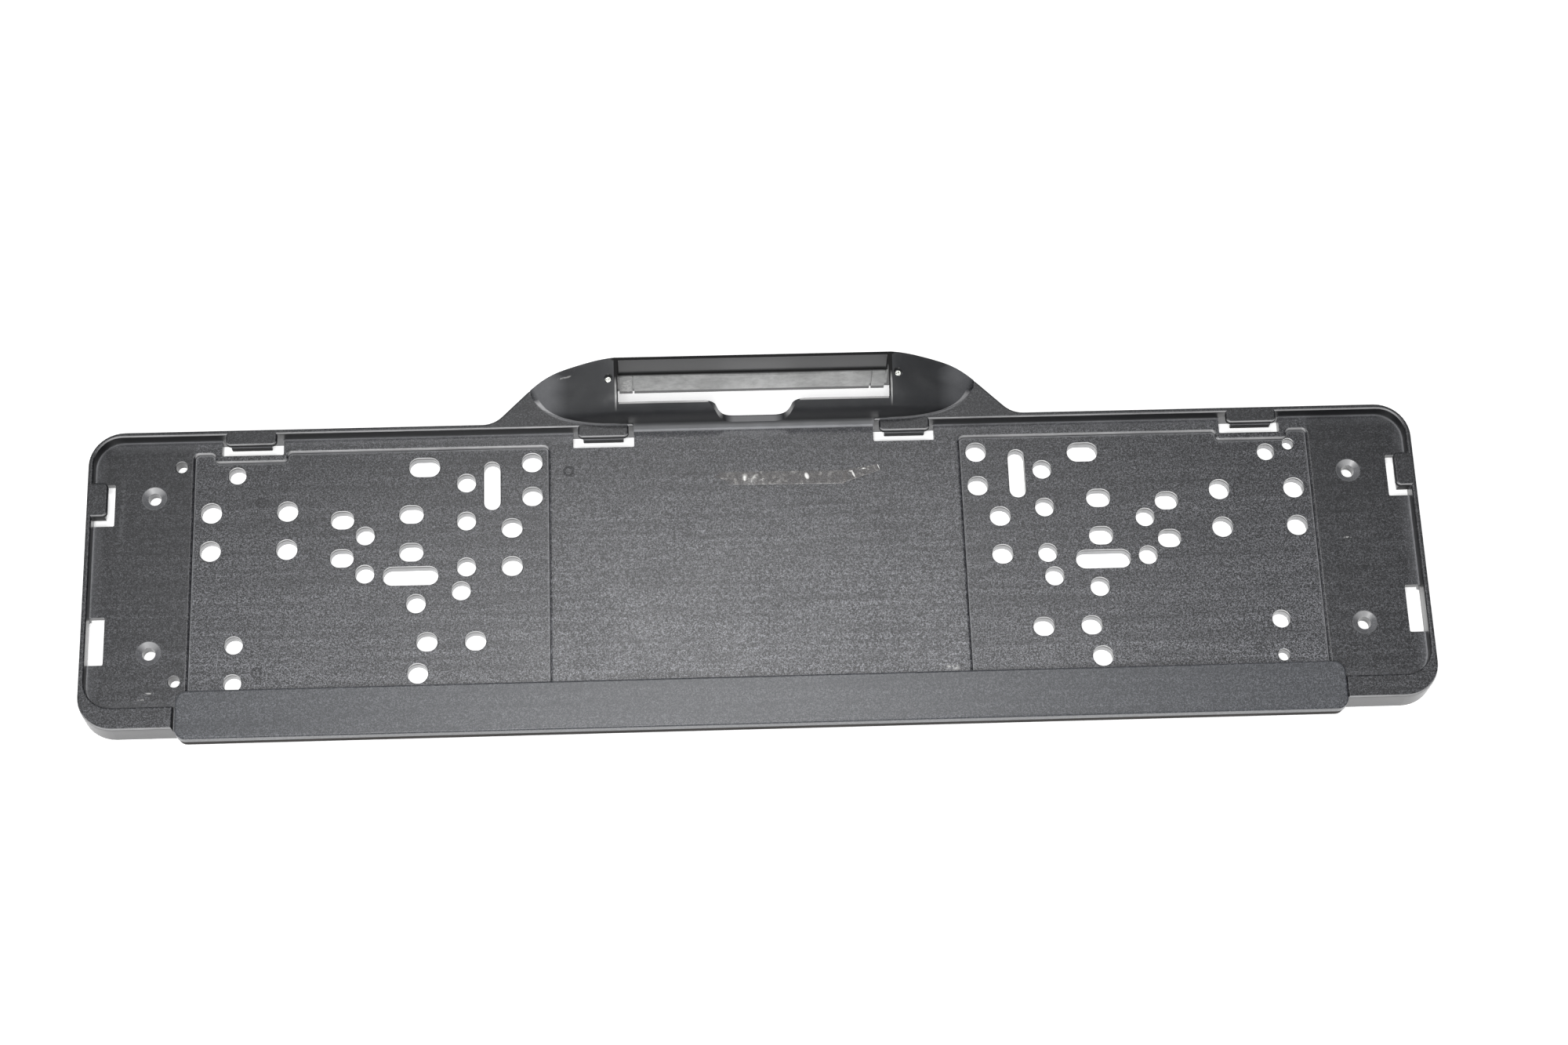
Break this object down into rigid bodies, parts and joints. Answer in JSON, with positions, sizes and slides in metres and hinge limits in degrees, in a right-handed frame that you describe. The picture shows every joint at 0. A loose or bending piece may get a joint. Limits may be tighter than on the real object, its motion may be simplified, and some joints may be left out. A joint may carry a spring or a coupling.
{
  "type": "number plate holder",
  "caption": "Long shallow plate holder tray with hook tabs, slotted fixing panels, a clip-on lower retainer strip and a hollow windowed hood on its top edge.",
  "frame": {"origin": "centre of the plate and of the corner screw holes, on the plane of the back edge that meets the car", "axes": "+X along the plate's length, +Y up the plate towards the hood, +Z out of the front, so the holder lies on its back"},
  "size_m": [0.5284, 0.1489, 0.0306],
  "materials": {
    "frame_plastic": "black moulded plastic with a fine grain, smoother on the hood",
    "strip_plastic": "black moulded plastic with a fine grain, a little lighter than the frame",
    "screw_steel": "bright plated cross-head screw"
  },
  "bodies": {
    "root": {"holder_frame": "frame_plastic", "retainer_strip": "strip_plastic", "hood_screws": "screw_steel"}
  },
  "joints": []
}
